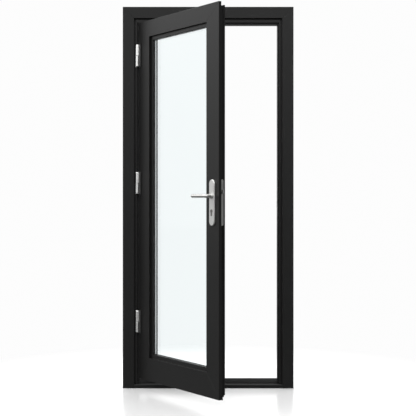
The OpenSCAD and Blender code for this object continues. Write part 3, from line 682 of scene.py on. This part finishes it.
class Seals:
    """The rubber round the stop and on both sides of the glass."""

    stop = Opening(0.0, 0.94, 0.047, 2.093)
    sight = Opening(0.108, 0.666, 0.124, 1.865)
    bulb_from: float = 81 * MM
    bulb_w: float = 6 * MM
    bulb_foot: float = 20 * MM
    bulb_h: float = 4.5 * MM
    bulb_steps: int = 14
    bulb_start: float = -25.0
    bulb_sweep: float = 230.0
    foot_share: float = 0.55
    foot_h: float = 0.7 * MM
    lip_from: float = 6 * MM

    def __init__(self, finishes: Finishes) -> None:
        """Keeps the finishes.

        Args:
            finishes: The door's materials.
        """
        self.finishes = finishes

    def bulb(self) -> list[tuple[float, float]]:
        """Returns a rounded bulb on a narrow foot."""
        half = self.bulb_w / 2
        middle = self.bulb_from + half
        foot = self.foot_share * half
        neck = self.bulb_foot - self.foot_h
        points = [(middle + foot, self.bulb_foot), (middle + foot, neck)]
        for i in range(self.bulb_steps + 1):
            turn = math.radians(self.bulb_start + self.bulb_sweep * i / self.bulb_steps)
            rise = 0.5 * self.bulb_h * (1 + math.sin(turn))
            points.append((middle + half * math.cos(turn), self.bulb_foot - rise))
        points += [(middle - foot, neck), (middle - foot, self.bulb_foot)]
        return points

    def lip(self, glass: float, away: float, reach: float) -> list[tuple[float, float]]:
        """Returns a gasket that leans on the glass with a thin lip.

        Args:
            glass: Depth of the glass face.
            away: Depth of the bead or lip it stands against.
            reach: How far that bead or lip covers the glass.

        Returns:
            The outline, as (distance from the sight line, depth).
        """
        step = (away - glass) / 5
        return [(self.lip_from, away), (reach - 0.4 * MM, away), (reach, away - step),
                (reach + 0.6 * MM, away - 2.2 * step), (reach + 1.0 * MM, glass + step),
                (reach + 0.9 * MM, glass + 0.2 * step), (reach + 0.2 * MM, glass), (self.lip_from, glass)]

    def place(self, name: str, mesh: bmesh.types.BMesh, where: Matrix, body: Body,
              nodes: Sequence[str]) -> None:
        """Puts a seal in place of CAD seals.

        Args:
            name: The piece's name.
            mesh: Its mesh, in the closed door's directions.
            where: What lays it over the CAD.
            body: The body it rides on.
            nodes: The CAD nodes it replaces.
        """
        bmesh.ops.transform(mesh, matrix=where, verts=mesh.verts)
        obj = new_object(name, mesh, self.finishes.rubber)
        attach(obj, body.value)
        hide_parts(*nodes)

    def build(self) -> None:
        """Makes the stop seal and both glazing gaskets."""
        self.place("stop_seal", seal_mesh(self.stop.arch(), self.bulb(), False), FRAME_PLACE, Body.FRAME,
                   ("hinge_jamb_gasket", "lock_jamb_gasket", "head_gasket"))
        outer, inner = self.lip(26 * MM, 23 * MM, 22 * MM), self.lip(42 * MM, 45 * MM, 14 * MM)
        self.place("outer_glass_seal", seal_mesh(self.sight.ring(), outer, True), LEAF_PLACE, Body.LEAF,
                   ("outer_glazing_gasket",))
        self.place("inner_glass_seal", seal_mesh(self.sight.ring(), inner, True), LEAF_PLACE, Body.LEAF,
                   ("inner_glazing_gasket",))


# ---------------------------------------------------------------- repeated items


class CopyTree:
    """Geometry nodes that put copies of an object on points, as one plain mesh."""

    def __init__(self, title: str) -> None:
        """Makes the tree with the inputs that every kind has.

        Args:
            title: The tree's name.
        """
        self.tree = bpy.data.node_groups.new(title, "GeometryNodeTree")
        face = self.tree.interface
        face.new_socket("Geometry", in_out="INPUT", socket_type="NodeSocketGeometry")
        self.sockets = {
            name: face.new_socket(name, in_out="INPUT", socket_type=kind).identifier
            for name, kind in (("Copy", "NodeSocketObject"), ("Turn", "NodeSocketVector"),
                               ("Size", "NodeSocketFloat"), ("Spacing", "NodeSocketFloat"),
                               ("Seed", "NodeSocketInt"), ("Finish", "NodeSocketMaterial"))}
        face.new_socket("Geometry", in_out="OUTPUT", socket_type="NodeSocketGeometry")
        self.source = self.tree.nodes.new("NodeGroupInput").outputs
        self.result = self.tree.nodes.new("NodeGroupOutput").inputs
        self.info = self.node("GeometryNodeObjectInfo")
        self.link(self.source["Copy"], self.info.inputs["Object"])
        self.copies = self.node("GeometryNodeInstanceOnPoints")
        self.link(self.info.outputs["Geometry"], self.copies.inputs["Instance"])
        self.link(self.source["Size"], self.copies.inputs["Scale"])
        realize = self.node("GeometryNodeRealizeInstances")
        self.link(self.copies.outputs["Instances"], realize.inputs["Geometry"])
        paint = self.node("GeometryNodeSetMaterial")
        self.link(realize.outputs["Geometry"], paint.inputs["Geometry"])
        self.link(self.source["Finish"], paint.inputs["Material"])
        self.link(paint.outputs["Geometry"], self.result["Geometry"])
        self.spread()

    def node(self, kind: str, **values: object) -> bpy.types.Node:
        """Adds a node and sets its properties.

        Args:
            kind: The node's type name.
            values: Property names and values.

        Returns:
            The new node.
        """
        made = self.tree.nodes.new(kind)
        for key, value in values.items():
            setattr(made, key, value)
        return made

    def link(self, start: bpy.types.NodeSocket, end: bpy.types.NodeSocket) -> None:
        """Links two sockets.

        Args:
            start: The output.
            end: The input.
        """
        self.tree.links.new(start, end)

    def spread(self) -> None:
        """Places and turns the copies. Each kind has its own."""
        raise NotImplementedError

    def make(self, name: str, host: bpy.types.Mesh, values: dict[str, object]) -> bpy.types.Object:
        """Runs the tree on a host mesh and keeps the result as a plain mesh.

        Args:
            name: The piece's name.
            host: The points or edges to put copies on.
            values: The inputs' values.

        Returns:
            The new piece.
        """
        obj = bpy.data.objects.new(name, host)
        bpy.context.scene.collection.objects.link(obj)
        modifier = obj.modifiers.new("copies", "NODES")
        modifier.node_group = self.tree
        for key, value in values.items():
            modifier[self.sockets[key]] = value
        obj.update_tag()
        bpy.context.view_layer.update()
        return applied(obj)


class CopiesOnPoints(CopyTree):
    """Copies on the host's vertices, turned alike, each with its own twist about its axis."""

    def spread(self) -> None:
        """Instances on the vertices, with a fixed random twist."""
        self.link(self.source["Geometry"], self.copies.inputs["Points"])
        turn = self.node("FunctionNodeEulerToRotation")
        self.link(self.source["Turn"], turn.inputs["Euler"])
        twist = self.node("FunctionNodeRandomValue", data_type="FLOAT")
        low, high = [s for s in twist.inputs if s.type == "VALUE" and s.enabled][:2]
        low.default_value = 0.0
        high.default_value = math.tau
        self.link(self.source["Seed"], twist.inputs["Seed"])
        about = self.node("ShaderNodeCombineXYZ")
        value = next(s for s in twist.outputs if s.type == "VALUE" and s.enabled)
        self.link(value, about.inputs["Z"])
        local = self.node("FunctionNodeEulerToRotation")
        self.link(about.outputs["Vector"], local.inputs["Euler"])
        both = self.node("FunctionNodeRotateRotation", rotation_space="LOCAL")
        self.link(turn.outputs["Rotation"], both.inputs["Rotation"])
        self.link(local.outputs["Rotation"], both.inputs["Rotate By"])
        self.link(both.outputs["Rotation"], self.copies.inputs["Rotation"])


class CopiesAlongPath(CopyTree):
    """Copies at even steps along the host's edges, facing the inside of the loop."""

    def spread(self) -> None:
        """Resamples the edges and turns each copy across them. Turn holds the loop's normal."""
        curve = self.node("GeometryNodeMeshToCurve")
        self.link(self.source["Geometry"], curve.inputs["Mesh"])
        steps = self.node("GeometryNodeResampleCurve", mode="LENGTH")
        self.link(curve.outputs["Curve"], steps.inputs["Curve"])
        self.link(self.source["Spacing"], steps.inputs["Length"])
        self.link(steps.outputs["Curve"], self.copies.inputs["Points"])
        tangent = self.node("GeometryNodeInputTangent")
        across = self.node("ShaderNodeVectorMath", operation="CROSS_PRODUCT")
        self.link(tangent.outputs["Tangent"], across.inputs[0])
        self.link(self.source["Turn"], across.inputs[1])
        align = self.node("FunctionNodeAlignRotationToVector", axis="Z")
        self.link(across.outputs["Vector"], align.inputs["Vector"])
        self.link(align.outputs["Rotation"], self.copies.inputs["Rotation"])


class Facing(Enum):
    """Which way a screw's head faces, in the directions it is drawn in."""

    FRONT = (math.pi / 2, 0.0, 0.0)
    BACK = (-math.pi / 2, 0.0, 0.0)
    RIGHT = (0.0, math.pi / 2, 0.0)
    LEFT = (0.0, -math.pi / 2, 0.0)


@dataclass(frozen=True)
class ScrewSet:
    """Screws that share a size and a direction.

    Args:
        node: The CAD node they replace.
        head: Radius of the head.
        facing: The way the heads face.
        where: What lays them over the CAD.
        points: Their places before that.
    """

    node: str
    head: float
    facing: Facing
    where: Matrix
    points: tuple[tuple[float, float, float], ...]


HINGE_HEIGHTS = (0.369, 1.130, 1.830)
# Places on the leaf and the frame, from their lower left front corners: the leaf's edge with the middle of
# its lock, the lever's centre line on the inner plate, and the strike plate.
LEAF_EDGE = (0.758, 0.031)
INNER_PLATE = (0.722, 0.057)
STRIKE = (0.8495, 0.034)


class Fastenings:
    """Screws with socket heads, and near-black dots along the spacer between the panes, painted shade for its
    small recesses.
    """

    sides: int = 24
    recess: float = 0.46
    dot_spacing: float = 7 * MM
    dot_size: float = 0.5 * MM
    dot_rows: tuple[float, ...] = (32.2 * MM, 35.8 * MM)
    ring = Opening(0.1251, 0.6489, 0.1411, 1.8479)
    sets: tuple[ScrewSet, ...] = (
        ScrewSet("frame_hinge_screws", 3.6 * MM, Facing.FRONT, FRAME_AXIS,
                 tuple((-0.0059, 0.015, h + z) for h in HINGE_HEIGHTS for z in (0.018, 0.044))),
        ScrewSet("leaf_hinge_screws", 4.2 * MM, Facing.FRONT, LEAF_AXIS,
                 tuple((0.0175, 0.006, h + z) for h in HINGE_HEIGHTS for z in (-0.044, 0.0, 0.044))),
        ScrewSet("faceplate_screws", 3.6 * MM, Facing.RIGHT, LEAF_PLACE,
                 ((*LEAF_EDGE, 0.862), (*LEAF_EDGE, 1.072))),
        ScrewSet("cylinder_screw", 4.4 * MM, Facing.RIGHT, LEAF_PLACE, ((*LEAF_EDGE, 0.9065),)),
        ScrewSet("handle_plate_screws", 4.6 * MM, Facing.BACK, LEAF_PLACE,
                 ((*INNER_PLATE, 0.869), (*INNER_PLATE, 1.065))),
        ScrewSet("strike_screws", 4.0 * MM, Facing.LEFT, FRAME_PLACE,
                 ((*STRIKE, 0.9635), (*STRIKE, 1.1295))),
    )

    def __init__(self, finishes: Finishes) -> None:
        """Keeps the finishes and makes the two trees.

        Args:
            finishes: The door's materials.
        """
        self.finishes = finishes
        self.on_points = CopiesOnPoints("screws_on_points")
        self.along_path = CopiesAlongPath("dots_along_path")

    def screw_head(self) -> bpy.types.Object:
        """Returns a countersunk head of radius 1 with a six-sided recess, facing +Z."""
        mesh = bmesh.new()
        rims = ((1.0, False, -0.06), (0.94, False, 0.0), (self.recess, True, 0.0),
                (self.recess * 0.96, True, -0.42))
        rings = [self.rim(mesh, 0.45, False, -0.55)]
        rings += [self.rim(mesh, *rim) for rim in rims]
        for one, two in zip(rings, rings[1:]):
            for i in range(self.sides):
                j = (i + 1) % self.sides
                mesh.faces.new((one[i], one[j], two[j], two[i]))
        mesh.faces.new(rings[-1])
        mesh.faces.new(reversed(rings[0]))
        bmesh.ops.recalc_face_normals(mesh, faces=mesh.faces)
        return new_object("screw_head_pattern", mesh, self.finishes.lock, 25.0)

    def rim(self, mesh: bmesh.types.BMesh, radius: float, six_sided: bool, height: float) -> list:
        """Adds a ring of vertices, round or six-sided.

        Args:
            mesh: The bmesh.
            radius: The ring's radius, across its flats if six-sided.
            six_sided: Whether it is a hexagon.
            height: Its height.

        Returns:
            The vertices.
        """
        ring = []
        for i in range(self.sides):
            turn = math.tau * i / self.sides
            off_flat = (turn + math.pi / 6) % (math.pi / 3) - math.pi / 6
            reach = radius / math.cos(off_flat) if six_sided else radius
            ring.append(mesh.verts.new((reach * math.cos(turn), reach * math.sin(turn), height)))
        return ring

    def dot(self) -> bpy.types.Object:
        """Returns a disc of radius 1 facing +Z, in the near-black painted-shade finish."""
        mesh = bmesh.new()
        bmesh.ops.create_circle(mesh, cap_ends=True, segments=8, radius=1.0)
        return new_object("dot_pattern", mesh, self.finishes.dark)

    def build(self) -> None:
        """Makes the screws and the spacer's dots, and removes the patterns they are copied from."""
        head, dot = self.screw_head(), self.dot()
        for seed, group in enumerate(self.sets):
            host = bpy.data.meshes.new(f"{group.node}_points")
            host.from_pydata(group.points, [], [])
            obj = self.on_points.make(f"{group.node}_heads", host, {
                "Copy": head, "Turn": group.facing.value, "Size": group.head, "Seed": seed,
                "Finish": self.finishes.lock})
            obj.data.transform(group.where)
            set_smooth(obj, 25.0)
            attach(obj, BODY_OF[group.node])
            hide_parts(group.node)
        corners = [(at.x, at.z) for at in self.ring.ring()]
        host = bpy.data.meshes.new("spacer_dot_points")
        points = [(x, depth, z) for depth in self.dot_rows for x, z in corners]
        edges = [(4 * row + i, 4 * row + (i + 1) % 4) for row in range(len(self.dot_rows)) for i in range(4)]
        host.from_pydata(points, edges, [])
        # The spacer's dots are painted shade: near-black discs placed where the spacer's small recesses would
        # lie in shade.
        obj = self.along_path.make("spacer_dots", host, {
            "Copy": dot, "Turn": (0.0, 1.0, 0.0), "Size": self.dot_size, "Spacing": self.dot_spacing,
            "Finish": self.finishes.dark})
        obj.data.transform(LEAF_PLACE)
        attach(obj, Body.LEAF.value)
        for pattern in (head, dot):
            bpy.data.objects.remove(pattern)


# ---------------------------------------------------------------- room


@dataclass(frozen=True)
class Surroundings:
    """Sizes and brightness of everything round the door.

    Args:
        white: Brightness of the backdrop as seen directly and through the glass.
        zenith: Brightness of the upper half for everything else.
        level: Brightness at eye level for everything else.
        left: How much brighter the left is at eye level, before its soft bands.
        right: Share of the brightness that is left on the right.
        floor_bounce: Brightness of the floor for everything but the view.
        floor_colour: The floor's own shade near the door.
        floor_fade: Distances between which the floor fades into the backdrop.
        floor_size: Side of the floor.
        floor_gloss: The floor's roughness.
        floor_drop: How far the floor lies under the door.
        band_slope: The direction in which the soft bands on the left follow each other.
        band_half: Half the distance between two bands.
    """

    white: float = 0.98
    zenith: float = 2.5
    level: float = 0.44
    left: float = 0.15
    right: float = 0.2
    floor_bounce: float = 0.25
    floor_colour: float = 0.74
    floor_fade: tuple[float, float] = (0.75, 1.7)
    floor_size: float = 60.0
    floor_gloss: float = 0.2
    floor_drop: float = 0.1 * MM
    band_slope: tuple[float, float, float] = (-0.911, -2.253, 1.0)
    band_half: float = 0.0705


class Room:
    """The white surroundings, the floor and the camera."""

    def __init__(self, look: Surroundings) -> None:
        """Keeps the sizes.

        Args:
            look: Sizes and brightness of the surroundings.
        """
        self.look = look

    def seen(self, tree: bpy.types.NodeTree) -> bpy.types.NodeSocket:
        """Adds a mask that is 1 for what is seen directly or through glass.

        Args:
            tree: The node tree.

        Returns:
            The mask's socket.
        """
        path = tree.nodes.new("ShaderNodeLightPath")
        mask = tree.nodes.new("ShaderNodeMath")
        mask.operation = "MAXIMUM"
        tree.links.new(path.outputs["Is Camera Ray"], mask.inputs[0])
        tree.links.new(path.outputs["Is Transmission Ray"], mask.inputs[1])
        return mask.outputs["Value"]

    def maths(self, tree: bpy.types.NodeTree, operation: str, *values: object) -> bpy.types.NodeSocket:
        """Adds a maths node.

        Args:
            tree: The node tree.
            operation: What the node does.
            values: Its inputs, each a socket or a number.

        Returns:
            Its output.
        """
        made = tree.nodes.new("ShaderNodeMath")
        made.operation = operation
        for socket, value in zip(made.inputs, values):
            if isinstance(value, bpy.types.NodeSocket):
                tree.links.new(value, socket)
            else:
                socket.default_value = value
        return made.outputs["Value"]

    def ramp(self, tree: bpy.types.NodeTree, value: bpy.types.NodeSocket, start: tuple[float, float],
             end: tuple[float, float]) -> bpy.types.NodeSocket:
        """Adds a smooth change from one (value, result) pair to another.

        Args:
            tree: The node tree.
            value: What the change follows.
            start: The pair where it starts.
            end: The pair where it ends.

        Returns:
            The result's socket.
        """
        made = tree.nodes.new("ShaderNodeMapRange")
        made.interpolation_type = "SMOOTHSTEP"
        tree.links.new(value, made.inputs["Value"])
        limits = {"From Min": start[0], "From Max": end[0], "To Min": start[1], "To Max": end[1]}
        for name, number in limits.items():
            made.inputs[name].default_value = number
        return made.outputs["Result"]

    def sky(self) -> None:
        """Lights the door from a white room, brighter above and on the left and darker on the right."""
        world = bpy.data.worlds.new("white_room")
        world.use_nodes = True
        tree = world.node_tree
        tree.nodes.clear()
        coords = tree.nodes.new("ShaderNodeTexCoord").outputs["Generated"]
        parts = tree.nodes.new("ShaderNodeSeparateXYZ")
        tree.links.new(coords, parts.inputs["Vector"])
        height = parts.outputs["Z"]
        upper = self.ramp(tree, height, (0.0, self.look.level), (0.45, self.look.zenith))
        side = self.ramp(tree, parts.outputs["X"], (-0.35, self.look.left), (-0.9, 0.0))
        side = self.maths(tree, "SUBTRACT", self.look.left, side)
        slope = tree.nodes.new("ShaderNodeVectorMath")
        slope.operation = "DOT_PRODUCT"
        tree.links.new(coords, slope.inputs[0])
        slope.inputs[1].default_value = self.look.band_slope
        wave = self.maths(tree, "PINGPONG", slope.outputs["Value"], self.look.band_half)
        band = self.ramp(tree, wave, (0.025, 0.82), (0.045, 1.18))
        bright = self.maths(tree, "ADD", upper, self.maths(tree, "MULTIPLY", side, band))
        dim = self.ramp(tree, parts.outputs["X"], (0.3, 1.0), (0.75, self.look.right))
        bright = self.maths(tree, "MULTIPLY", bright, dim)
        back = self.ramp(tree, parts.outputs["Y"], (0.55, 0.0), (0.9, 1.0))
        bright = self.maths(tree, "MAXIMUM", bright, self.maths(tree, "MULTIPLY", back, self.look.white))
        mix = tree.nodes.new("ShaderNodeMix")
        tree.links.new(self.seen(tree), mix.inputs["Factor"])
        tree.links.new(bright, mix.inputs["A"])
        mix.inputs["B"].default_value = self.look.white
        shine = tree.nodes.new("ShaderNodeBackground")
        shine.inputs["Color"].default_value = (1.0, 1.0, 1.0, 1.0)
        tree.links.new(mix.outputs["Result"], shine.inputs["Strength"])
        output = tree.nodes.new("ShaderNodeOutputWorld")
        tree.links.new(shine.outputs["Background"], output.inputs["Surface"])
        bpy.context.scene.world = world

    def floor_finish(self) -> bpy.types.Material:
        """Returns a pale floor that fades into the backdrop."""
        material = bpy.data.materials.new("pale_floor")
        material.use_nodes = True
        tree = material.node_tree
        tree.nodes.clear()
        coords = tree.nodes.new("ShaderNodeTexCoord").outputs["Object"]
        length = tree.nodes.new("ShaderNodeVectorMath")
        length.operation = "LENGTH"
        tree.links.new(coords, length.inputs[0])
        near_to, far_from = self.look.floor_fade
        fade = self.ramp(tree, length.outputs["Value"], (near_to, 0.0), (far_from, 1.0))
        near = tree.nodes.new("ShaderNodeBsdfPrincipled")
        near.inputs["Base Color"].default_value = (*[self.look.floor_colour] * 3, 1.0)
        near.inputs["Roughness"].default_value = self.look.floor_gloss
        far = tree.nodes.new("ShaderNodeEmission")
        far.inputs["Strength"].default_value = self.look.white
        view = tree.nodes.new("ShaderNodeMixShader")
        tree.links.new(fade, view.inputs["Fac"])
        tree.links.new(near.outputs["BSDF"], view.inputs[1])
        tree.links.new(far.outputs["Emission"], view.inputs[2])
        bounce = tree.nodes.new("ShaderNodeEmission")
        bounce.inputs["Strength"].default_value = self.look.floor_bounce
        all_rays = tree.nodes.new("ShaderNodeMixShader")
        tree.links.new(self.seen(tree), all_rays.inputs["Fac"])
        tree.links.new(bounce.outputs["Emission"], all_rays.inputs[1])
        tree.links.new(view.outputs["Shader"], all_rays.inputs[2])
        output = tree.nodes.new("ShaderNodeOutputMaterial")
        tree.links.new(all_rays.outputs["Shader"], output.inputs["Surface"])
        return material

    def floor(self) -> None:
        """Lays the floor."""
        mesh = bmesh.new()
        bmesh.ops.create_grid(mesh, x_segments=1, y_segments=1, size=self.look.floor_size / 2)
        obj = new_object("studio_floor", mesh, self.floor_finish())
        obj.location.z = -self.look.floor_drop

    def camera(self) -> None:
        """Sets up the camera, level and square to the frame."""
        data = bpy.data.cameras.new("view")
        data.sensor_width = 36.0
        data.lens = 90.5
        data.shift_x = -0.00036
        data.shift_y = -0.0212
        data.clip_end = 200.0
        obj = bpy.data.objects.new("view", data)
        obj.location = (0.0, -5.792, 1.041)
        obj.rotation_euler = (math.radians(90.0), 0.0, 0.0)
        bpy.context.scene.collection.objects.link(obj)
        bpy.context.scene.camera = obj

    def build(self) -> None:
        """Sets everything up."""
        self.sky()
        self.floor()
        self.camera()
        settings = bpy.context.scene.view_settings
        settings.view_transform = "Standard"
        settings.look = "None"


# ---------------------------------------------------------------- main


def main() -> None:
    """Builds every sub-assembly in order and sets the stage."""
    logging.basicConfig(level=logging.INFO, format="%(message)s")
    finishes = Finishes()
    for part in (Metalwork(finishes), Seals(finishes), Fastenings(finishes), Room(Surroundings())):
        part.build()
        LOG.info("built %s", type(part).__name__)


if __name__ == "__main__":
    main()
